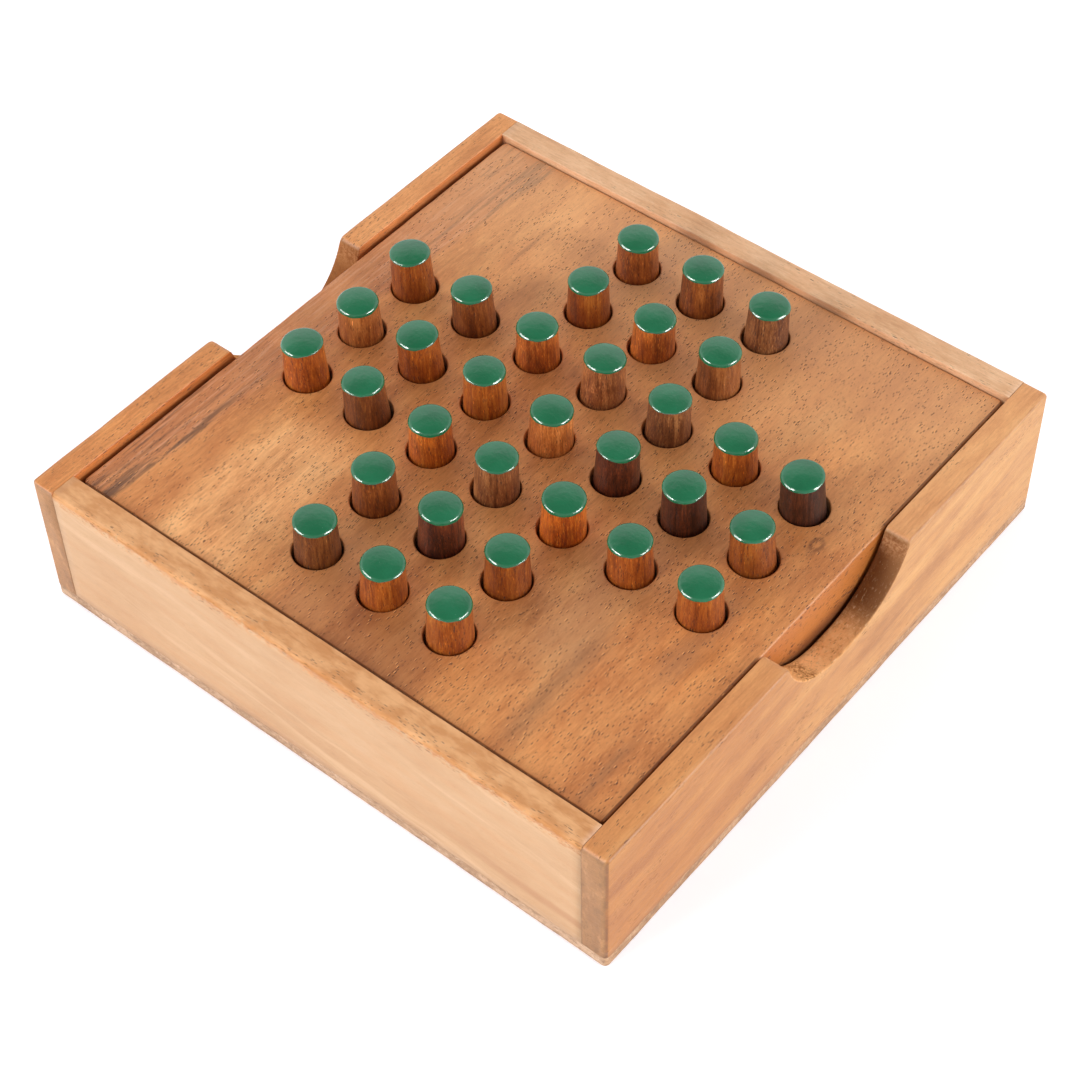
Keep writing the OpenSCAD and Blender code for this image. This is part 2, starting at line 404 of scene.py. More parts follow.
def board_hook(g, col, x, y, z, layers):
    """The board's own figure: a red-brown and grey-brown sapwood band along its left edge that
    narrows towards the front, patches, smoky streaks and one tight pin knot; also painted shade low
    on its sides and a painted shadow line along its front and right edges."""
    slow, long = layers.slow, layers.long
    # right-hand limit of the band: wide at the back, narrow at the front
    front_limit, widening = -52.3, 6.2
    limit = g.fade(y, -58.0, 62.0, 0.0, 1.0, smooth=False) * widening + front_limit
    past_limit = x - limit + slow.centred(3.0)
    band = g.fade(past_limit, 1.6, -1.2)
    col = g.tint(col, band * 0.42, (190, 118, 80))
    col = g.tint(col, band * g.fade(long, 0.50, 0.66) * 0.55, (220, 158, 118))

    # dark grey-brown streaks, strongest just inside the band's edge and at the two corners
    lines = g.noise((x, z, y), (0.80, 0.4, 0.040), detail=4.0, rough=0.66)
    ragged = g.noise((x, z, y), (1.5, 0.6, 0.22), detail=4.0, rough=0.7)
    lines = lines + ragged.centred(0.42)
    near = g.fade(past_limit, 1.4, 0.1) * g.fade(past_limit, -6.5, -0.8)
    corners = g.larger(g.fade(y, 18.0, 52.0, 0.25, 1.0), g.fade(y, -12.0, -46.0, 0.25, 1.0))
    col = g.tint(col, near * corners * g.fade(lines, 0.42, 0.58) * 0.82, (112, 76, 50))
    col = g.tint(col, band * corners * g.fade(lines, 0.55, 0.65) * 0.66, (110, 66, 44))

    def off_line(centre, wander, fray):
        """Distance to either side of a wandering, frayed line that runs front to back."""
        return abs(x - centre + slow.centred(wander)) + ragged.centred(fray)

    for centre, width, y0, y1, factors in BOARD_PATCHES:
        off = off_line(centre, wander=7.0, fray=3.5)
        inside = g.fade(y, y0 - 5, y0 + 6) * g.fade(y, y1 + 6, y1 - 6)
        col = g.multiply(col, g.fade(off, width * 1.25, width * 0.45) * inside, factors)

    for centre, width, y0, y1, tone, strength, lean, core in BOARD_SMOKE:
        middle = centre + (y - (y0 + y1) / 2) * lean
        off = off_line(middle, wander=4.0, fray=width * 1.2)
        inside = g.fade(y, y0 - 6, y0 + 4) * g.fade(y, y1 + 8, y1 - 4)
        col = g.tint(col, g.fade(off, width, width * 0.1) * inside * strength, tone)
        if core:
            heart = g.fade(off, width * 0.38, 0.0) * inside * g.fade(ragged, 0.40, 0.58)
            col = g.tint(col, heart * core, scaled(tone, 0.66))

    # paler towards the back
    col = g.tint(col, g.fade(y, 5.0, 55.0, 0.0, 0.42), (227, 173, 125))

    # the board's sides: more orange beside the right-hand notch, and painted shade that darkens them
    # lower down
    side = g.fade(abs(layers.normal[2]), 0.55, 0.25)
    beside_notch = g.fade(abs(y - RIGHT_NOTCH_Y), 26.0, 18.5) * g.fade(x, 40.0, 55.0)
    col = g.tint(col, side * 0.85, g.tint((198, 132, 80), beside_notch, (190, 110, 40)))
    # painted shade: the sides darken lower down, most of all beside the notch
    painted_side_shade = g.fade(z, 23.6, 18.2) * (beside_notch * 0.60 + 0.20)
    col = g.tint(col, side * painted_side_shade, (96, 48, 22))

    # a painted shadow line along the board's front and right edges, where the walls shade the gap,
    # clear of the notch
    front_shadow_line = g.fade(y, -BOARD_EDGE + 0.68, -BOARD_EDGE + 0.50)
    right_shadow_line = (g.fade(x, BOARD_EDGE - 0.48, BOARD_EDGE - 0.34)
                 * g.fade(abs(y - RIGHT_NOTCH_Y), 17.5, 19.5))
    shadow_line = g.larger(front_shadow_line, right_shadow_line) * g.fade(z, BOARD_TOP - 1.6, BOARD_TOP - 0.4)
    # painted shadow: a dark line on the board beside the front and right walls
    col = g.tint(col, shadow_line * 0.66, (92, 46, 22))

    # pin knot, longer along the grain than across it, at x 52.2 and y 10
    off_knot = g.length(x - 52.2, (y - 10.0) * 0.72) + layers.short.centred(0.5)
    ring = g.fade(off_knot, 0.45, 0.85) * g.fade(off_knot, 1.55, 1.05)
    col = g.tint(col, ring * g.fade(ragged, 0.36, 0.52, 0.45, 1.0) * 0.68, (126, 72, 40))
    halo = g.fade(off_knot, 3.2, 1.5) * g.fade(ragged, 0.50, 0.60)
    col = g.tint(col, halo * 0.40, (150, 90, 52))

    # more open pores over the middle and towards the front right
    left_pores = -0.12
    pores = g.fade(x, -50.0, -4.0) * 0.21 + left_pores + g.fade(y, 20.0, -30.0, 0.0, 0.06)
    return col, {"pores": pores, "fleck": 0.70 - side * 0.55,
                 "height": band * (ragged - 0.5) * 2.6}


def front_hook(g, col, x, y, z, layers):
    """Paler wood on the front wall's outer face, its paleness partly painted light, a tan top that
    spills raggedly over the edge, and torn pores along that edge."""
    slow, up = layers.slow, layers.normal[2]
    # soft cathedral streaks that fall away to the right, with short dashes in them
    slant = z * 0.22 + x * 0.022 + slow.centred(0.9)
    streaks = g.noise(g.vector(slant, x * 0.010, y * 0.2), detail=5.0, rough=0.6)
    col = g.tint(col, g.fade(streaks, 0.50, 0.64, 0.0, 0.30), (202, 148, 102))
    col = g.tint(col, g.fade(streaks, 0.47, 0.35, 0.0, 0.30), (232, 196, 155))
    distance, cell = g.cells((z, x, y), (1.9, 0.42, 1.0))
    chance = g.split(cell, "Color")[0]
    dash = (g.fade(distance, 0.24, 0.08) * g.fade(chance, 0.70, 0.80)
            * g.fade(streaks, 0.44, 0.56))
    col = g.tint(col, dash * 0.42, (188, 128, 84))
    # one long darker streak low on the right
    level = z + slow.centred(2.0)
    low_streak = g.fade(level, 9.6, 8.4) * g.fade(level, 6.4, 7.8)
    col = g.tint(col, low_streak * g.fade(x, 20.0, 52.0) * 0.5, (176, 120, 78))

    outward = -IN_Y - y                             # from the inner face
    below = g.math("ADD", RIM_Z, 0.0) - z           # from the rim down
    ragged = g.noise((x, z, y), (0.62, 1.0, 1.0), detail=6.0, rough=0.78)
    slow_ragged = g.noise(g.vector(x * 0.055, 4.2, 1.7))
    reach = (ragged - 0.46) * 8.5 + slow_ragged.centred(3.0)
    top = g.fade(below - reach, 2.05, 0.60)
    tan = g.tint((210, 142, 83), g.fade(layers.cloud, 0.34, 0.66), (236, 175, 119))
    tan = g.tint(tan, g.fade(layers.long, 0.46, 0.32, 0.0, 0.35), (184, 116, 62))
    # painted shade: the tan is darker where it turns down onto the upright face, which the lamps
    # light more strongly
    tan = g.multiply(tan, g.fade(up, 0.80, 0.10), (0.80, 0.74, 0.66))
    col = g.tint(col, top * 0.90, tan)
    torn = g.fade(below, 4.2, 1.2) * g.fade(outward, 2.6, 4.4)
    col = g.tint(col, torn * (1.0 - top) * g.fade(ragged, 0.42, 0.60, 0.0, 0.50), (206, 146, 92))
    bend = g.fade(up, 0.97, 0.85) * g.fade(up, 0.02, 0.20)      # the rounded edge is duller
    face_pores = -0.16
    return col, {"pores": torn * 0.34 + (top * 0.02 + face_pores),
                 "height": torn * (ragged - 0.5) * 1.0, "spec": 0.4 - bend * 0.33}


def notch_hook(side, strength, rim, far, gap_shade_depth, gap_shade_tone):
    """A notched wall: darker cut grain in the notch, darkest where the cut meets the grain end-on,
    torn into tufts near the lips.

    side          +1 for the right wall, -1 for the left
    strength      how much of the cut colour shows
    rim, far      colour multipliers of the flat rim, which is painted light, and of the back end
    gap_shade_depth,  how far below the rim the inner face's painted shade turns fully dark (mm),
    gap_shade_tone    and its colour
    """
    def hook(g, col, x, y, z, layers):
        cloud, normal = layers.cloud, layers.normal
        back_facing = normal[1]
        cut, tear = g.attribute("cut"), g.attribute("tear")
        saw = g.noise((x, z, y), (1.3, 1.8, 0.75), detail=5.0, rough=0.72)
        fleck = g.noise((x, z, y), (3.0, 1.2, 0.9), detail=3.0, rough=0.7)
        tuft = g.noise((x, z, y), (1.7, 1.6, 1.0), detail=6.0, rough=0.8)

        # the sawn surface
        deep = g.tint((228, 152, 88), g.fade(back_facing, -0.03, -0.50), (86, 39, 14))
        deep = g.tint(deep, g.fade(back_facing, 0.0, 0.3), (246, 172, 106))
        outward = g.fade(x * side, IN_X + 0.5, HALF, 0.0, 1.0)
        # painted shade: the cut darkens towards the inner face, beside the gap round the board
        deep = g.tint(deep, g.fade(x * side, IN_X + 1.5, IN_X, 0.0, 0.45), (96, 54, 28))
        deep = g.tint(deep, outward * 0.25, (200, 140, 88))
        pale_saw = g.fade(saw, 0.48, 0.66, 0.0, 0.42) * g.fade(back_facing, -0.55, -0.1)
        deep = g.tint(deep, pale_saw, (232, 172, 112))
        deep = g.tint(deep, g.fade(saw, 0.47, 0.34, 0.0, 0.36), (124, 70, 32))
        pale_fleck = (g.fade(fleck, 0.58, 0.70, 0.0, 0.6)
                      * g.fade(back_facing, -0.7, -0.1, 0.25, 1.0))
        deep = g.tint(deep, pale_fleck, (238, 190, 136))
        col = g.tint(col, cut * strength, deep)

        # torn tufts, of other colours in the back half of the notch
        back = g.fade(y, -2.0, 2.0)
        tufts = g.tint(g.tint((134, 70, 30), back, (146, 84, 46)), g.fade(tuft, 0.42, 0.58),
                       g.tint((240, 174, 104), back, (208, 142, 88)))
        col = g.tint(col, tear * (0.78 - back * 0.22), tufts)

        # painted light: rims are lighter than the upright faces, which the lamps light more
        # strongly; and the walls pale towards the back
        flat = g.fade(normal[2], 0.55, 0.85) * (1.0 - cut)
        col = g.multiply(col, flat, rim)
        col = g.multiply(col, g.fade(y, -52.0, 34.0) * (1.0 - flat * 0.35), far)
        # painted shade: the inner face darkens towards the gap round the board
        inner = g.fade(normal[0] * -side, 0.5, 0.9) * (1.0 - cut)
        shade_by_gap = g.fade(z, RIM_Z - 0.9, RIM_Z - gap_shade_depth, 0.0, 0.75)
        col = g.tint(col, inner * shade_by_gap, gap_shade_tone)
        if side < 0:
            # painted light: the upper inner face of the left wall is lighter and more orange
            painted_inner_light = g.fade(z, RIM_Z - 3.4, RIM_Z - 0.8)
            col = g.multiply(col, inner * painted_inner_light, (1.40, 1.22, 0.92))

        # the outer top edge: a darker line along it, and a painted highlight line beside it
        edge_x = x * side + cloud.centred(0.30)
        top = g.fade(z, RIM_Z - 0.9, RIM_Z - 0.4) * (1.0 - cut)
        dark_line = (g.fade(edge_x, HALF - 0.62, HALF - 0.42)
                     * g.fade(edge_x, HALF - 0.06, HALF - 0.26) * top)
        col = g.tint(col, dark_line * g.fade(cloud, 0.38, 0.6, 0.1, 0.5), (150, 94, 54))
        # painted highlight along the rounded outer edge
        edge_highlight_line = (g.fade(edge_x, HALF - 1.05, HALF - 0.85)
                     * g.fade(edge_x, HALF - 0.50, HALF - 0.68) * top)
        col = g.tint(col, edge_highlight_line * 0.15, (232, 182, 132))

        # a dark glue line where the plain walls butt against this one
        ends = g.fade(abs(y), HALF - 0.30, HALF - 0.12)
        joint = g.fade(x * side, IN_X + 0.34, IN_X + 0.12) * ends
        col = g.tint(col, joint * 0.62, (110, 72, 48))
        # a dark line down each corner
        corner = abs(normal[0]) * abs(normal[1])
        worn = g.fade(corner, 0.30, 0.46) * (1.0 - cut)
        col = g.tint(col, worn * g.fade(cloud, 0.36, 0.60, 0.35, 0.75), (122, 80, 52))

        height = cut * (saw - 0.5) * 1.8 + tear * (tuft - 0.5) * (4.0 - back * 1.8)
        return col, {"height": height, "not_end": cut * 0.9,
                     "spec": g.fade(cut, 0.0, 1.0, 0.4, 0.0)}
    return hook


def base_hook(g, col, x, y, z, layers):
    """The panel's sawn edges: grey-pink, granular and dull, with painted shade towards the foot."""
    side = g.fade(abs(layers.normal[2]), 0.80, 0.45)
    grain = g.noise((y, z, x), (1.5, 1.4, 1.1), detail=5.0, rough=0.75)
    tone = g.noise((y, z, x), (0.16, 0.5, 0.16), detail=3.0, rough=0.6)
    edge = g.tint((172, 136, 106), g.fade(tone, 0.36, 0.64), (206, 169, 138))
    edge = g.tint(edge, g.fade(grain, 0.49, 0.34, 0.0, 0.70), (132, 96, 74))
    edge = g.tint(edge, g.fade(grain, 0.53, 0.68, 0.0, 0.70), (228, 200, 172))
    edge = g.multiply(edge, g.fade(abs(x), HALF - 0.9, HALF - 0.2), (0.98, 0.89, 0.77))
    # painted shade: the sawn edge darkens towards its foot
    edge = g.multiply(edge, g.fade(z, 1.1, 0.1), (0.78, 0.79, 0.82))
    col = g.tint(col, side * 0.94, edge)
    return col, {"not_end": side, "height": side * (grain - 0.5) * 3.0}


def peg_hook(g, col, x, y, z, layers):
    """Fine pale flecks down the dowel."""
    distance, cell = g.cells((x, y, z), (2.9, 2.9, 0.62))
    chance, paleness, _ = g.split(cell, "Color")
    fleck = g.fade(distance, 0.30, 0.14) * g.fade(chance, 0.64, 0.72)
    col = g.multiply(col, fleck * g.fade(paleness, 0.2, 0.9, 0.20, 0.90), (2.2, 2.5, 2.9))
    return g.multiply(col, 1.0, (0.97, 0.96, 0.93)), {}


# ------------------------------------------------------------------ the woods of board and tray

BOARD_WOOD = wood(
    "board_wood_fine", "Y", 1.0, [(174, 101, 50), (202, 126, 68), (219, 145, 83), (230, 161, 98)],
    pith=(18.0, -60.0), warp=9.0, figure=0.26, fibre=0.20, cloud=0.60, grain=0.24,
    pore=0.98, pore_some=(0.32, 0.50), pore_range=(0.30, 0.46), pore_col=(60, 28, 12),
    rough=0.47, hook=board_hook)
# the front wall's pale tones are partly painted light from the front left
FRONT_WOOD = wood(
    "front_wood", "X", 2.0, [(182, 134, 91), (196, 151, 109), (204, 162, 121), (208, 172, 136)],
    pith=(-90.0, 20.0), warp=5.0, figure=0.28, fibre=0.10, cloud=0.35, tilt=0.06, grain=0.07,
    pore=0.75, pore_range=(0.46, 0.66), pore_col=(120, 78, 50), fleck=0.2, small=0.08,
    rough=0.52, end_col=(170, 136, 106), hook=front_hook)
BACK_WOOD = wood(
    "back_wood", "X", 3.0, [(195, 137, 91), (220, 166, 121), (237, 188, 145), (249, 209, 171)],
    pith=(95.0, 70.0), warp=6.0, figure=0.30, fibre=0.16, cloud=0.45,
    pore=0.75, pore_range=(0.44, 0.64), rough=0.50)
RIGHT_WOOD = wood(
    "right_wood", "Y", 4.0, [(163, 99, 47), (183, 117, 59), (193, 128, 66), (202, 141, 79)],
    pith=(-10.0, -55.0), warp=6.0, figure=0.62, fibre=0.22, cloud=0.50, tilt=0.035,
    pore=0.75, pore_range=(0.46, 0.66), small=0.12, rough=0.50,
    end_col=(165, 121, 81), end_grey=0.80,
    hook=notch_hook(side=1.0, strength=0.92, rim=(1.32, 1.36, 1.68), far=(1.24, 1.52, 2.04),
                    gap_shade_depth=2.2, gap_shade_tone=(84, 44, 22)))
LEFT_WOOD = wood(
    "left_wood", "Y", 5.0, [(156, 90, 43), (185, 114, 60), (206, 134, 75), (220, 153, 94)],
    pith=(-60.0, -40.0), warp=5.0, figure=0.45, fibre=0.26, cloud=0.40,
    pore=0.85, rough=0.50, end_col=(177, 132, 92), end_grey=0.86,
    hook=notch_hook(side=-1.0, strength=0.6, rim=(1.34, 1.40, 1.40), far=(1.0, 1.10, 1.35),
                    gap_shade_depth=3.2, gap_shade_tone=(136, 70, 24)))
BASE_WOOD = wood(
    "base_wood_fine", "X", 6.0,
    [(153, 114, 84), (177, 134, 100), (195, 153, 116), (208, 169, 133)],
    pith=(10.0, -120.0), warp=8.0, figure=0.25, fibre=0.70, cloud=0.35, grain=0.30,
    pore=0.6, pore_size=0.7, pore_range=(0.30, 0.55), pore_col=(120, 88, 66),
    rough=0.66, spec=0.25, end_col=(184, 152, 124), hook=base_hook)
LEDGE_WOOD = wood(
    "ledge_wood", "X", 7.0, [(186, 130, 86), (206, 152, 104), (220, 170, 122), (230, 186, 142)],
    pith=(40.0, -30.0), warp=5.0, figure=0.5, fibre=0.30, cloud=0.3, pore=0.6, rough=0.58)


# ------------------------------------------------------------------ the woods of the dowels

# places are (column from the left, row from the front) on a 7 by 7 grid
PEG_TONES = {
    "orange": [(111, 44, 5), (148, 68, 12), (172, 88, 23), (196, 118, 43)],
    "brown": [(90, 40, 10), (125, 60, 18), (151, 80, 28), (187, 114, 52)],
    "tan": [(121, 60, 21), (152, 81, 33), (178, 104, 48), (207, 136, 74)],
    "dark": [(41, 14, 6), (62, 24, 10), (87, 38, 16), (131, 64, 32)],
    "smoky": [(82, 42, 20), (117, 64, 32), (149, 90, 50), (198, 137, 84)],
}
# every other dowel is orange
PLACES_OF_KIND = {
    "dark": {(5, 3), (6, 4), (4, 3), (3, 1)},
    "brown": {(1, 2), (1, 4), (2, 1), (2, 6), (3, 6), (2, 4), (2, 0), (3, 5)},
    "smoky": {(3, 4), (4, 4), (3, 2), (4, 6)},
    "tan": {(3, 3), (0, 3), (4, 5)},
}
# brightness of single dowels against their kind
BRIGHTNESS = {
    (2, 6): 1.25, (3, 5): 1.8, (2, 4): 1.8, (3, 4): 1.35, (5, 4): 1.1, (3, 3): 1.45,
    (4, 3): 1.25, (0, 2): 1.15, (2, 2): 1.3, (4, 2): 1.6, (3, 1): 1.3,
    (4, 6): 0.85, (2, 5): 0.8, (4, 5): 0.75, (0, 4): 0.88, (1, 4): 0.8, (4, 4): 0.9,
    (6, 4): 0.55, (5, 3): 0.83, (6, 3): 0.75, (1, 2): 0.66, (6, 2): 0.92, (4, 1): 0.8,
    (2, 0): 0.57, (4, 0): 0.88,
}


def in_cross(column, row):
    return abs(column - 3) <= 1 or abs(row - 3) <= 1


def brightened(tones, factor):
    """Tones so many times as bright in linear light."""
    gain = factor ** (1 / 2.2)
    return [tuple(min(255, round(gain * level)) for level in rgb) for rgb in tones]


def peg_wood(place):
    kind = next((kind for kind, places in PLACES_OF_KIND.items() if place in places), "orange")
    tones = brightened(PEG_TONES[kind], BRIGHTNESS.get(place, 1.0))
    seed = 11.0 + 3.0 * list(PEG_TONES).index(kind)
    return wood(
        "peg_wood_%s_%d%d" % (kind, *place), "Z", seed, tones,
        pith=(200.0, 160.0), warp=3.0, figure=0.45, fibre=0.56, cloud=0.42, grain=0.32,
        contrast=1.15, pore=0.70, pore_size=0.85, pore_range=(0.28, 0.50),
        pore_col=scaled(tones[0], 0.55), fleck=0.35, end_col=scaled(tones[1], 0.9),
        rough=0.40, spec=0.45, hook=peg_hook)


PLACES = [(column, row) for row in range(7) for column in range(7) if in_cross(column, row)]
PEG_WOODS = [peg_wood(place) for place in PLACES]


def enamel():
    """Gloss enamel: a little orange peel, a few trapped specks, and a painted pale reflection along
    its thin edge.
    """
    g = Tree(bpy.data.materials.new("green_enamel"))
    point = g.object_mm()
    tone = g.noise(point, (0.16,) * 3)
    peel = g.noise(point, (1.3,) * 3, detail=3.0, rough=0.55)
    col = g.ramp(tone, [(0.25, linear(20, 97, 62)), (0.5, linear(27, 107, 70)),
                        (0.78, linear(34, 116, 79))])
    distance, cell = g.cells(point, (1.15,) * 3)
    chance = g.split(cell, "Color")[0]
    speck = g.fade(distance, 0.085, 0.035) * g.fade(chance, 0.78, 0.84)
    col = g.tint(col, speck * 0.5, (110, 168, 140))
    edge = g.attribute("edge")
    # painted reflection: a pale grey-blue line along the enamel's edge
    col = g.tint(col, g.fade(edge, 0.15, 0.85) * 0.72, (132, 150, 154))
    swell = g.noise(point, (0.50,) * 3)
    height = peel * 0.9 + swell * 1.6 + speck * 0.8
    rough = 0.07 + g.noise(point, (2.5,) * 3) * 0.09
    g.finish(col, rough, spec=0.5, height=height, bump=0.26, bump_depth=0.00025,
             coat=0.15, coat_rough=0.04)
    return g.owner


ENAMEL = enamel()


# ------------------------------------------------------------------ mesh helpers

def mesh_object(name, verts_mm, faces, material):
    mesh = bpy.data.meshes.new(name)
    mesh.from_pydata([(x * MM, y * MM, z * MM) for x, y, z in verts_mm], [], faces)
    mesh.validate()
    mesh.polygons.foreach_set("use_smooth", [True] * len(mesh.polygons))
    mesh.update()
    mesh.materials.append(material)
    ob = bpy.data.objects.new(name, mesh)
    bpy.context.scene.collection.objects.link(ob)
    return ob


def set_attribute(ob, name, values):
    """A number on every vertex, for the materials to read."""
    ob.data.attributes.new(name, "FLOAT", "POINT").data.foreach_set("value", values)


def wave(position, rate, seed):
    """Smooth, repeatable wobble between about -1 and 1."""
    angle = position * rate
    return (math.sin(angle + seed * 1.7) + 0.6 * math.sin(angle * 2.3 + seed * 4.1)
            + 0.35 * math.sin(angle * 5.1 + seed * 2.9)) / 1.95


def unit(value):
    """Held between 0 and 1."""
    return min(1.0, max(0.0, value))


def quarter(k, steps):
    """The k-th of so many steps through a right angle."""
    return math.pi / 2 * k / steps


def arc_drop(radius, distance):
    """How far a rounded edge falls away, at a distance in from its end."""
    if distance >= radius:
        return 0.0
    return radius - math.sqrt(max(0.0, radius ** 2 - (radius - distance) ** 2))


def strip(first, second):
    """Quads between two closed loops of vertex numbers."""
    count = len(first)
    return [(first[k], first[(k + 1) % count], second[(k + 1) % count], second[k])
            for k in range(count)]


def skin(loops):
    """A closed skin through loops of equally many points."""
    count = len(loops[0])
    verts = [point for loop in loops for point in loop]
    numbers = [tuple(range(i * count, (i + 1) * count)) for i in range(len(loops))]
    faces = [face for pair in zip(numbers[:-1], numbers[1:]) for face in strip(*pair)]
    return verts, faces + [numbers[0][::-1], numbers[-1]]


def four_sides(row):
    """A row of points on the +X side, repeated round all four sides."""
    return [(x * cosine - y * sine, x * sine + y * cosine)
            for cosine, sine in ((1, 0), (0, 1), (-1, 0), (0, -1)) for x, y in row]


def rounded_square(half, corner_r, count):
    """4 x count points round a square, each corner's middle at every count-th point."""
    steps = 4                                       # in half a corner
    inner = half - corner_r
    row = []
    for k in range(count):
        if k < steps:
            angle = -math.pi / 4 + math.pi / 4 * k / steps
            row.append((inner + corner_r * math.cos(angle), -inner + corner_r * math.sin(angle)))
        elif k <= count - steps:
            row.append((half, -inner + 2 * inner * (k - steps) / (count - 2 * steps)))
        else:
            angle = math.pi / 4 * (k - count + steps) / steps
            row.append((inner + corner_r * math.cos(angle), inner + corner_r * math.sin(angle)))
    return four_sides(row)


def pushed_out(x, y, amount):
    """Moves a point of a square outline away from the middle."""
    factor = 1 + amount / max(abs(x), abs(y))
    return x * factor, y * factor


# ------------------------------------------------------------------ tray walls

def notch_profile():
    """(along, height from the rim) points from one rounded lip of the notch to the other."""
    centre_z = NOTCH_R - NOTCH_DEEP                 # of the big arcs
    rise = centre_z + NOTCH_LIP_R
    reach = math.sqrt((NOTCH_R + NOTCH_LIP_R) ** 2 - rise * rise)
    meet = math.atan2(rise, reach)                  # angle at which a lip meets its big arc
    sweep = math.pi / 2 - meet
    flat_half = NOTCH_FLAT / 2
    right = []
    for k in range(11):                             # lip, from the rim down
        angle = math.pi / 2 - sweep * k / 10
        right.append((flat_half + reach - NOTCH_LIP_R * math.cos(angle),
                      -NOTCH_LIP_R + NOTCH_LIP_R * math.sin(angle)))
    for k in range(1, 45):                          # big arc, down to the floor
        angle = -meet - sweep * k / 44
        right.append((flat_half + NOTCH_R * math.cos(angle),
                      centre_z + NOTCH_R * math.sin(angle)))
    left = [(-along, z) for along, z in right]
    return left + [(0.0, -NOTCH_DEEP)] + right[::-1]


def wall_stations(half, notch_at):
    """(place along the wall, height from the rim) of each cross-section."""
    if notch_at is None:
        return [(-half + 2 * half * k / 60, 0.0) for k in range(61)]
    notch = [(notch_at + along, z) for along, z in notch_profile()]
    start, end = notch[0][0], notch[-1][0]
    stations = [(-half + (start + half) * k / 24, 0.0) for k in range(24)]
    stations += notch
    stations += [(end + (half - end) * k / 24, 0.0) for k in range(1, 25)]
    # close steps round the two upright corners
    insets = [WALL_CORNER_R * (1 - math.cos(quarter(k, 8))) for k in range(9)]
    kept = [station for station in stations if abs(station[0]) < half - WALL_CORNER_R - 0.3]
    return ([(-half + inset, 0.0) for inset in insets] + kept
            + [(half - inset, 0.0) for inset in insets[::-1]])


def wall(half, thick, outer_round, inner_round, seed, notch_at=None, end_rounds=None):
    """A wall as one skin of rounded cross-sections strung along its length. Each point is (along,
    out from the inner face, z). Also returns, per vertex, how much of it is sawn notch surface and
    how much is torn lip. Only notched walls have rounded ends; end_rounds are the radii of their
    top edges at the start and the end."""
    stations = wall_stations(half, notch_at)
    table = np.array(stations)
    # the tiny ramp keeps neighbouring places apart
    slopes = np.gradient(table[:, 1], table[:, 0] + np.arange(len(table)) * 1e-7)
    rings, cut, tear = [], [], []
    rng = np.random.default_rng(int(seed * 100))
    # share of each ring point that the notch touches: only the top and its rounded edges
    on_top = ([0.0] * 14 + [min(1.0, k / 3) for k in range(7)] + [1.0] * 11
              + [min(1.0, (6 - k) / 3) for k in range(7)] + [0.0] * 18)
    for (along, drop), slope in zip(stations, slopes):
        into = unit(-drop / 1.6)                    # 1 inside the notch, 0 on the rim
        outer = outer_round * (1 + 0.16 * wave(along, 0.17, seed)) * (1 - into) + 0.35 * into
        inner = inner_round * (1 + 0.25 * wave(along, 0.23, seed + 3)) * (1 - into) + 0.30 * into
        steep = min(3.0, math.sqrt(1 + slope * slope))
        outer_z, inner_z = outer * steep, inner * steep
        top = RIM_Z + drop + (0.05 * wave(along, 0.11, seed + 5) - 0.05) * (1 - into)
        face = thick - 0.03 - 0.03 * wave(along, 0.09, seed + 7)
        if notch_at is not None:
            from_end = half - abs(along)
            face -= arc_drop(WALL_CORNER_R, from_end)
            top -= arc_drop(end_rounds[0] if along < 0 else end_rounds[1], from_end)
        torn = 0.0                                  # where the cut runs out, more on the near side
        if drop < -0.15:
            torn = max(0.0, 1 - abs(-drop - 2.2) / 2.6)
            if along < notch_at:
                torn = max(torn, unit(1.6 - abs(along - notch_at + 10.6) / 2.2))

        ring = [(0.0, BASE_T + (top - inner_z - BASE_T) * k / 14) for k in range(14)]
        for k in range(7):
            angle = math.pi - quarter(k, 6)
            ring.append((inner + inner * math.cos(angle), top - inner_z + inner_z * math.sin(angle)))
        for k in range(1, 12):
            jag = torn * 0.09 * (rng.random() - 0.5) * 2
            ring.append((inner + (face - outer - inner) * k / 12, top + jag))
        for k in range(7):
            angle = math.pi / 2 - quarter(k, 6)
            ring.append((face - outer + outer * math.cos(angle),
                         top - outer_z + outer_z * math.sin(angle)))
        for k in range(1, 15):
            ring.append((face, top - outer_z + (BASE_T - top + outer_z) * k / 14))
        ring += [(face * (1 - k / 5), BASE_T) for k in range(1, 5)]
        rings.append([(along, out, z) for out, z in ring])
        cut += [share * unit((-drop - 0.25) / 0.7) for share in on_top]
        tear += [share * torn for share in on_top]
    return (*skin(rings), cut, tear)


def put_wall(node, made, place, mirrored, material):
    """Stands a wall in the tray. A mirrored placing needs its faces turned round."""
    verts, faces, cut, tear = made
    if mirrored:
        faces = [face[::-1] for face in faces]
    ob = mesh_object(node + "_worn", [place(*vert) for vert in verts], faces, material)
    set_attribute(ob, "cut", cut)
    set_attribute(ob, "tear", tear)
    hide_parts(node)
    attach(ob, "tray")


put_wall("right_side_wall",
         wall(HALF, SIDE_T, outer_round=0.62, inner_round=0.22, seed=1.0,
              notch_at=RIGHT_NOTCH_Y, end_rounds=(1.15, 0.9)),
         lambda along, out, z: (IN_X + out, along, z), True, RIGHT_WOOD)
put_wall("left_side_wall",
         wall(HALF, SIDE_T, outer_round=0.62, inner_round=0.22, seed=2.0,
              notch_at=LEFT_NOTCH_Y, end_rounds=(0.55, 0.9)),
         lambda along, out, z: (-IN_X - out, along, z), False, LEFT_WOOD)
put_wall("front_wall", wall(IN_X, END_T, outer_round=0.88, inner_round=0.20, seed=3.0),
         lambda along, out, z: (along, -IN_Y - out, z), True, FRONT_WOOD)
put_wall("back_wall", wall(IN_X, END_T, outer_round=0.75, inner_round=0.22, seed=4.0),
         lambda along, out, z: (along, IN_Y + out, z), False, BACK_WOOD)


# ------------------------------------------------------------------ base panel

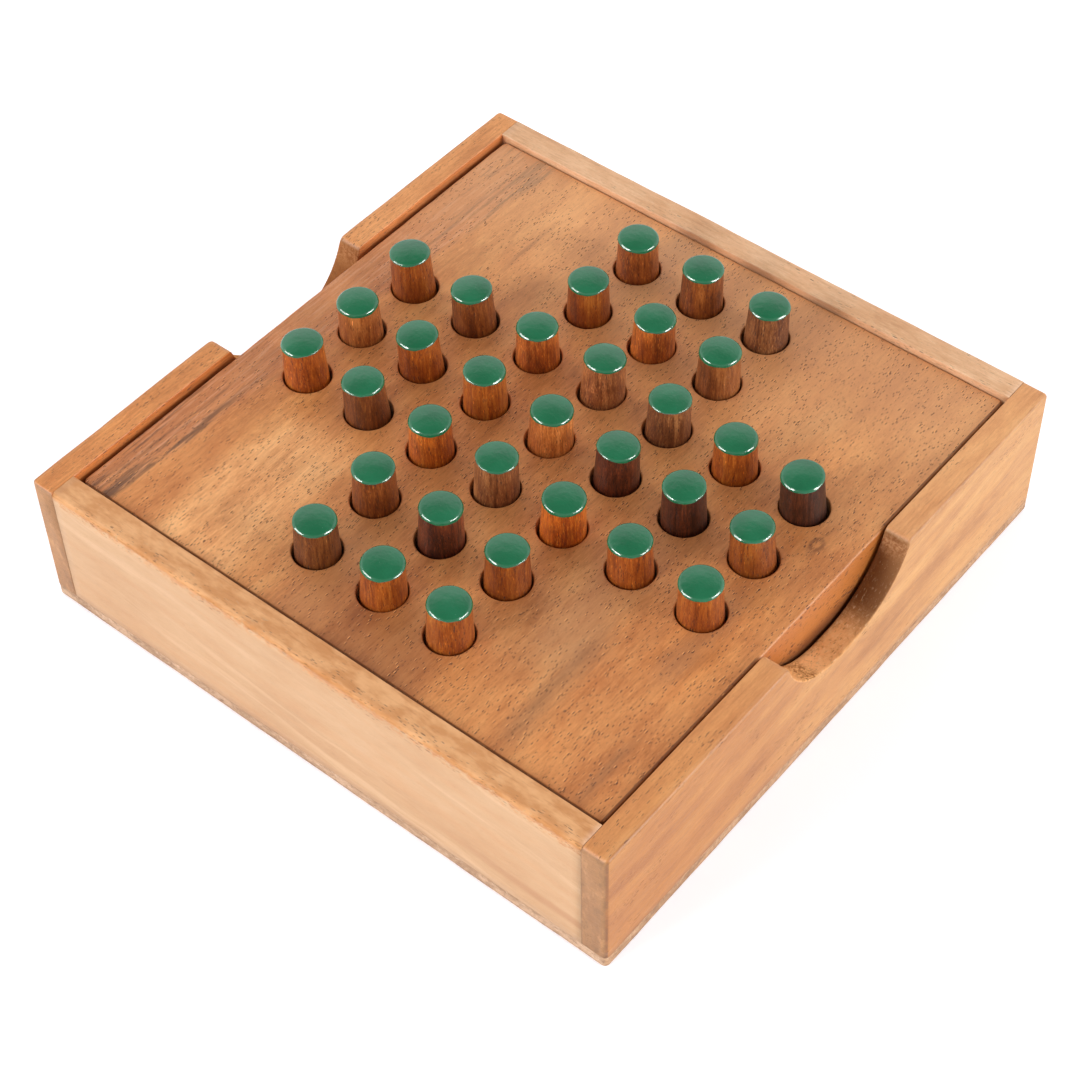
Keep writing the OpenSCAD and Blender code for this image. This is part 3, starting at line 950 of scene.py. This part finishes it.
def base_mesh():
    """The panel from the middle of its underside, round its edge, to the middle of its top."""
    edge = []                                       # (half width, z)
    for k in range(7):
        angle = -math.pi / 2 + quarter(k, 6)
        edge.append((HALF - BASE_FOOT_R + BASE_FOOT_R * math.cos(angle),
                     BASE_FOOT_R + BASE_FOOT_R * math.sin(angle)))
    edge += [(HALF, z) for z in (1.2, 1.9, BASE_T - 0.15)]
    edge.append((HALF - 0.12, BASE_T))

    def loop(half, z, wobble):
        row = []
        for x, y in rounded_square(half, BASE_CORNER_R, 60):
            if wobble:                              # a saw-cut edge that is never quite straight
                x, y = pushed_out(x, y, 0.05 * wave(x + y * 1.3, 0.21, 6.0) - 0.05)
            row.append((x, y, z))
        return row

    return skin([loop(HALF * share, 0.0, False) for share in (0.25, 0.6, 0.9)]
                + [loop(half, z, True) for half, z in edge]
                + [loop(HALF * share, BASE_T, False) for share in (0.9, 0.6, 0.25)])


base = mesh_object("base_panel_worn", *base_mesh(), BASE_WOOD)
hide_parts("base_panel")
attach(base, "tray")


# ------------------------------------------------------------------ board

CELL_STEPS = 16                     # mesh steps along one side of a hole's square cell


class BoardMesh:
    """The drilled board: 7 by 7 square cells, a margin round them, the edge and the underside."""

    def __init__(self):
        self.verts, self.faces, self.index = [], [], {}
        for row in range(7):
            for column in range(7):
                centre_x = BOARD_X + (column - 3) * PITCH
                centre_y = BOARD_Y + ROWS_BACK + (row - 3) * PITCH
                if in_cross(column, row):
                    self.drilled_cell(centre_x, centre_y, seed=column * 3.7 + row * 1.9)
                else:
                    self.plain_cell(centre_x, centre_y)
        self.outside()

    def vert(self, x, y, z):
        """The number of the vertex here, shared with its neighbours."""
        key = (round(x, 4), round(y, 4), round(z, 4))
        if key not in self.index:
            self.index[key] = len(self.verts)
            self.verts.append((x, y, z))
        return self.index[key]

    def plain_cell(self, centre_x, centre_y):
        def at(i, j):
            return self.vert(centre_x - PITCH / 2 + PITCH * i / CELL_STEPS,
                             centre_y - PITCH / 2 + PITCH * j / CELL_STEPS, BOARD_TOP)

        for i in range(CELL_STEPS):
            for j in range(CELL_STEPS):
                self.faces.append((at(i, j), at(i + 1, j), at(i + 1, j + 1), at(i, j + 1)))

    def drilled_cell(self, centre_x, centre_y, seed):
        half = PITCH / 2
        square = four_sides([(half, -half + PITCH * k / CELL_STEPS) for k in range(CELL_STEPS)])
        count = len(square)
        angles = [-math.pi / 4 + math.pi / 2 * k / CELL_STEPS for k in range(count)]
        circle = [(math.cos(angle), math.sin(angle)) for angle in angles]

        loops = [[self.vert(centre_x + x, centre_y + y, BOARD_TOP) for x, y in square]]
        mouth = HOLE_R + HOLE_LIP
        for share in (0.42, 0.75):                  # from the square towards the mouth
            loops.append([self.vert(centre_x + x * (1 - share) + cosine * mouth * share,
                                    centre_y + y * (1 - share) + sine * mouth * share, BOARD_TOP)
                          for (x, y), (cosine, sine) in zip(square, circle)])

        rings = [(HOLE_R + HOLE_LIP * (1 - math.sin(quarter(k, 5))),
                  BOARD_TOP - HOLE_LIP * (1 - math.cos(quarter(k, 5)))) for k in range(6)]
        rings += [(HOLE_R, BOARD_TOP - HOLE_LIP - (HOLE_DEEP - HOLE_LIP - 0.3) * k / 6)
                  for k in range(1, 7)]
        rings += [(HOLE_R - 0.3, BOARD_TOP - HOLE_DEEP), (HOLE_R * 0.5, BOARD_TOP - HOLE_DEEP)]
        for number, (radius, z) in enumerate(rings):
            loop = []
            for k, (cosine, sine) in enumerate(circle):
                # a drilled mouth is a touch ragged across the grain
                turn = 2 * math.pi * k / count
                ragged = 0.035 * wave(turn * 6.0, 1.0, seed) * abs(sine) if number < 4 else 0.0
                loop.append(self.vert(centre_x + cosine * (radius + ragged),
                                      centre_y + sine * (radius + ragged), z))
            loops.append(loop)
        for upper, lower in zip(loops[:-1], loops[1:]):
            self.faces += strip(upper, lower)
        self.faces.append(tuple(loops[-1]))

    def edge_loop(self, inset, z, wear):
        loop = []
        for x, y in rounded_square(BOARD_HALF - inset, BOARD_CORNER_R - inset, 7 * CELL_STEPS):
            x, y = pushed_out(x, y, wear * (0.5 * wave(x + y * 1.7, 0.33, 2.0) - 0.5))
            loop.append(self.vert(BOARD_X + x, BOARD_Y + y, z))
        return loop

    def outside(self):
        """Everything beyond the cells, from their outline outwards, down and under."""
        count = 7 * CELL_STEPS
        half = 3.5 * PITCH
        cells = [(x, y + ROWS_BACK) for x, y in
                 four_sides([(half, -half + 2 * half * k / count) for k in range(count)])]
        flat = rounded_square(BOARD_HALF - BOARD_EDGE_R, BOARD_CORNER_R - BOARD_EDGE_R, count)
        loops = [[self.vert(BOARD_X + x, BOARD_Y + y, BOARD_TOP) for x, y in cells]]
        for share in (0.35, 0.7, 0.92):
            loops.append([self.vert(BOARD_X + x0 * (1 - share) + x1 * share,
                                    BOARD_Y + y0 * (1 - share) + y1 * share, BOARD_TOP)
                          for (x0, y0), (x1, y1) in zip(cells, flat)])
        radius = BOARD_EDGE_R
        for k in range(7):                          # rounded top edge
            angle = quarter(k, 6)
            loops.append(self.edge_loop(radius - radius * math.sin(angle),
                                        BOARD_TOP - radius + radius * math.cos(angle), 0.10))
        for k in range(1, 8):                       # upright side
            drop = (BOARD_TOP - BOARD_BOTTOM - 2 * radius) * k / 7
            loops.append(self.edge_loop(0.0, BOARD_TOP - radius - drop, 0.06))
        for k in range(1, 7):                       # rounded bottom edge
            angle = quarter(k, 6)
            loops.append(self.edge_loop(radius - radius * math.cos(angle),
                                        BOARD_BOTTOM + radius - radius * math.sin(angle), 0.05))
        for share in (0.97, 0.7, 0.35):
            loops.append([self.vert(BOARD_X + x * share, BOARD_Y + y * share, BOARD_BOTTOM)
                          for x, y in flat])
        for before, after in zip(loops[:-1], loops[1:]):
            self.faces += strip(after, before)
        self.faces.append(tuple(reversed(loops[-1])))


made = BoardMesh()
board = mesh_object("peg_board_worn", made.verts, made.faces, BOARD_WOOD)
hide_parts("peg_board")
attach(board, "board")

for name in ("front_ledge", "back_ledge"):
    NODES[name].data.materials.clear()
    NODES[name].data.materials.append(LEDGE_WOOD)


# ------------------------------------------------------------------ pegs

def axis_of(ob):
    """A turned peg's foot, direction and length, from its own surface."""
    mesh = ob.data
    mesh.calc_loop_triangles()
    points = np.array([vert.co for vert in mesh.vertices], float)
    corners = np.array([triangle.vertices for triangle in mesh.loop_triangles])
    first, second, third = (points[corners[:, k]] for k in range(3))
    areas = np.linalg.norm(np.cross(second - first, third - first), axis=1) / 2
    middles = (first + second + third) / 3
    centre = (middles * areas[:, None]).sum(0) / areas.sum()
    offsets = middles - centre
    spread = (offsets[:, :, None] * offsets[:, None, :] * areas[:, None, None]).sum(0)
    vectors = np.linalg.eigh(spread)[1]
    direction = vectors[:, 2] * (1 if vectors[2, 2] > 0 else -1)
    along = (points - centre) @ direction
    return centre + direction * along.min(), direction, along.max() - along.min()


# the rounded edge's centre, from the crown's top, and the crown's half angle
ROUND_Z = math.sqrt((CROWN_R - ROUND_R) ** 2 - (TOP_R - ROUND_R) ** 2) - CROWN_R
CROWN_ANGLE = math.asin((TOP_R - ROUND_R) / (CROWN_R - ROUND_R))
CROWN_ARC = CROWN_R * CROWN_ANGLE
TOP_ARC = CROWN_ARC + ROUND_R * (math.pi / 2 - CROWN_ANGLE)

# the enamel's wandering lower edge: size, waves round the dowel, phase per seed
DRIP_WAVES = [(0.13, 1, 2.1), (0.07, 2, 5.3), (0.045, 3, 1.3), (0.035, 7, 8.7), (0.025, 13, 3.3)]


def peg_top(distance):
    """(radius, z from the crown's top, normal) at a distance along the outline from the middle."""
    if distance <= CROWN_ARC:
        angle = distance / CROWN_R
        return (CROWN_R * math.sin(angle), CROWN_R * math.cos(angle) - CROWN_R,
                (math.sin(angle), math.cos(angle)))
    if distance <= TOP_ARC:
        angle = CROWN_ANGLE + (distance - CROWN_ARC) / ROUND_R
        return (TOP_R - ROUND_R + ROUND_R * math.sin(angle), ROUND_Z + ROUND_R * math.cos(angle),
                (math.sin(angle), math.cos(angle)))
    down = distance - TOP_ARC
    return TOP_R + down * DOWEL_TAPER, ROUND_Z - down, (1.0, DOWEL_TAPER)


def cap_mesh(seed):
    """The enamel as a closed thin shell: even over the crown, with a soft bead along its edge.
    Also returns, per vertex, how near it is to that edge, for the painted pale reflection there."""
    count, rows, bead = 88, 26, 0.20
    angles = [2 * math.pi * k / count for k in range(count)]
    ends = []                                       # length of the enamel down each meridian
    for angle in angles:
        drip = sum(size * math.sin(waves * angle + seed * phase)
                   for size, waves, phase in DRIP_WAVES)
        ends.append(TOP_ARC + 0.04 + 0.10 * math.sin(seed * 7.7) + 1.10 * drip)

    def point(angle, distance, lift):
        radius, z, (normal_r, normal_z) = peg_top(distance)
        radius += normal_r * lift
        return radius * math.cos(angle), radius * math.sin(angle), z + normal_z * lift

    verts = [(0.0, 0.0, ENAMEL_T)]
    edge_reflection_share = [0.0]
    for i in range(1, rows + 1):                    # outer skin, rows closer towards the edge
        share = 1 - (1 - i / rows) ** 1.7
        for angle, end in zip(angles, ends):
            left = end - end * share
            lift = ENAMEL_T + 0.035 * math.exp(-((left - 0.16) / 0.13) ** 2)
            if left < bead:
                lift *= math.sqrt(max(0.0, 1 - (1 - left / bead) ** 2))
            verts.append(point(angle, end * share, max(lift, 0.004)))
            edge_reflection_share.append(max(0.0, 1 - left / 0.22))
    inner_shares = (1.0, 0.9, 0.7, 0.4, 0.15)
    for share in inner_shares:                      # inner skin, sunk just into the wood
        verts += [point(angle, end * share, -0.03) for angle, end in zip(angles, ends)]
        edge_reflection_share += [1.0] * count

    loops = [tuple(range(1 + i * count, 1 + (i + 1) * count))
             for i in range(rows + len(inner_shares))]
    faces = [(0, 1 + k, 1 + (k + 1) % count) for k in range(count)]
    for upper, lower in zip(loops[:-1], loops[1:]):
        faces += [(upper[k], lower[k], lower[(k + 1) % count], upper[(k + 1) % count])
                  for k in range(count)]
    faces.append(loops[-1][::-1])
    return verts, faces, edge_reflection_share


def dress_peg(name, place, material):
    """Gives a dowel its wood and sets its enamel on top, square to its own axis."""
    peg = NODES[name]
    peg.data.materials.clear()
    peg.data.materials.append(material)
    foot, direction, length = axis_of(peg)
    verts, faces, edge_reflection_share = cap_mesh(place[0] * 1.37 + place[1] * 2.11 + 0.5)
    cap = mesh_object(name + "_enamel", verts, faces, ENAMEL)
    set_attribute(cap, "edge", edge_reflection_share)
    axis = Vector(direction)
    turn = Vector((0, 0, 1)).rotation_difference(axis).to_matrix().to_4x4()
    cap.data.transform(Matrix.Translation(Vector(foot) + axis * length) @ turn)
    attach(cap, name)


for k, (place, material) in enumerate(zip(PLACES, PEG_WOODS)):
    dress_peg("peg_%02d" % (k + 1), place, material)


# ------------------------------------------------------------------ studio, in metres

def floor():
    """A large, near-white, faintly glowing sheet just under the tray."""
    g = Tree(bpy.data.materials.new("studio_floor"))
    mottle = g.noise(g.coordinates("Object"), detail=3.0, scale=30.0)
    col = g.ramp(mottle, [(0.3, (0.955, 0.955, 0.955, 1)), (0.7, (0.975, 0.975, 0.975, 1))])
    shader = g.finish(col, rough=0.8, spec=0.1)
    shader.inputs["Emission Color"].default_value = (0.83, 0.87, 1.0, 1)
    shader.inputs["Emission Strength"].default_value = 0.385
    half, z = 6.0, -0.0002
    mesh = bpy.data.meshes.new("floor")
    corners = [(-half, -half, z), (half, -half, z), (half, half, z), (-half, half, z)]
    mesh.from_pydata(corners, [], [(0, 1, 2, 3)])
    mesh.materials.append(g.owner)
    ob = bpy.data.objects.new("floor", mesh)
    bpy.context.scene.collection.objects.link(ob)


floor()

ACROSS = Vector((0.7751, 0.6317, 0.0)).normalized()   # to the right across the view, level
TOWARDS = Vector((ACROSS.y, -ACROSS.x, 0.0))          # from the tray towards the camera, level


def studio_world(strength):
    """A white tent: bright walls, a dark roof, a little dimmer behind the camera and a little
    brighter at the sides; plain white below the horizon."""
    world = bpy.data.worlds.new("studio")
    bpy.context.scene.world = world
    g = Tree(world)
    x, y, z = g.split(g.coordinates("Generated"))
    roof = g.fade(z, 0.52, 0.95, 1.0, 0.20)
    towards = x * TOWARDS.x + y * TOWARDS.y
    sideways = abs(x * ACROSS.x + y * ACROSS.y)
    level = roof * g.fade(towards, 0.35, 0.95, 1.0, 0.62)
    level = level * g.fade(sideways, 0.3, 1.0, 0.94, 1.10)
    below = g.fade(z, -0.02, 0.0, 1.0, 0.0)
    col = g.mix(below, (0.985, 0.992, 1.0, 1.0), (1, 1, 1, 1))
    background = g.node("ShaderNodeBackground", {
        "Color": col, "Strength": g.larger(level, below) * strength})
    g.node("ShaderNodeOutputWorld", {0: g.value(background)})


studio_world(strength=1.30)


def area_light(name, across, towards, up, size, power, color=(1, 1, 1)):
    """A rectangular light, placed by the view's directions and aimed at the tray."""
    light = bpy.data.lights.new(name, "AREA")
    light.shape = "RECTANGLE"
    light.size, light.size_y = size
    light.energy = power
    light.color = color
    ob = bpy.data.objects.new(name, light)
    position = ACROSS * across + TOWARDS * towards + Vector((0, 0, up))
    ob.location = position
    ob.rotation_euler = (Vector((0, 0, 0.02)) - position).to_track_quat("-Z", "Y").to_euler()
    bpy.context.scene.collection.objects.link(ob)
    return ob


area_light("key_left", across=-1.55, towards=0.95, up=0.80, size=(0.55, 0.50), power=13.5,
           color=(1.0, 0.985, 0.96))
area_light("key_right", across=1.65, towards=0.85, up=0.80, size=(0.50, 0.50), power=11.0,
           color=(1.0, 0.99, 0.975))
glints = [
    area_light("glint_left", across=-1.75, towards=0.55, up=0.75, size=(1.5, 0.75), power=58.0),
    area_light("glint_right", across=1.75, towards=0.75, up=0.70, size=(1.4, 0.70), power=58.0),
]
for glint in glints:
    glint.visible_diffuse = False                   # seen only in glossy reflections


def camera():
    """Looks down on the tray from the front right."""
    lens = bpy.data.cameras.new("camera")
    lens.sensor_fit = "HORIZONTAL"
    lens.sensor_width = 36.0
    lens.lens = 81.88
    lens.clip_start, lens.clip_end = 0.01, 20.0
    ob = bpy.data.objects.new("camera", lens)
    bpy.context.scene.collection.objects.link(ob)
    right = Vector((0.7751, 0.6317, -0.0164)).normalized()
    ahead = Vector((-0.4229, 0.4993, -0.7562))
    ahead = (ahead - right * ahead.dot(right)).normalized()
    up = right.cross(ahead)
    ob.matrix_world = Matrix((
        (right.x, up.x, -ahead.x, 0.19439),
        (right.y, up.y, -ahead.y, -0.23187),
        (right.z, up.z, -ahead.z, 0.35225),
        (0, 0, 0, 1)))
    bpy.context.scene.camera = ob


camera()

view = bpy.context.scene.view_settings
view.view_transform = "Standard"
view.look = "None"
view.exposure = 0.0
view.gamma = 1.0
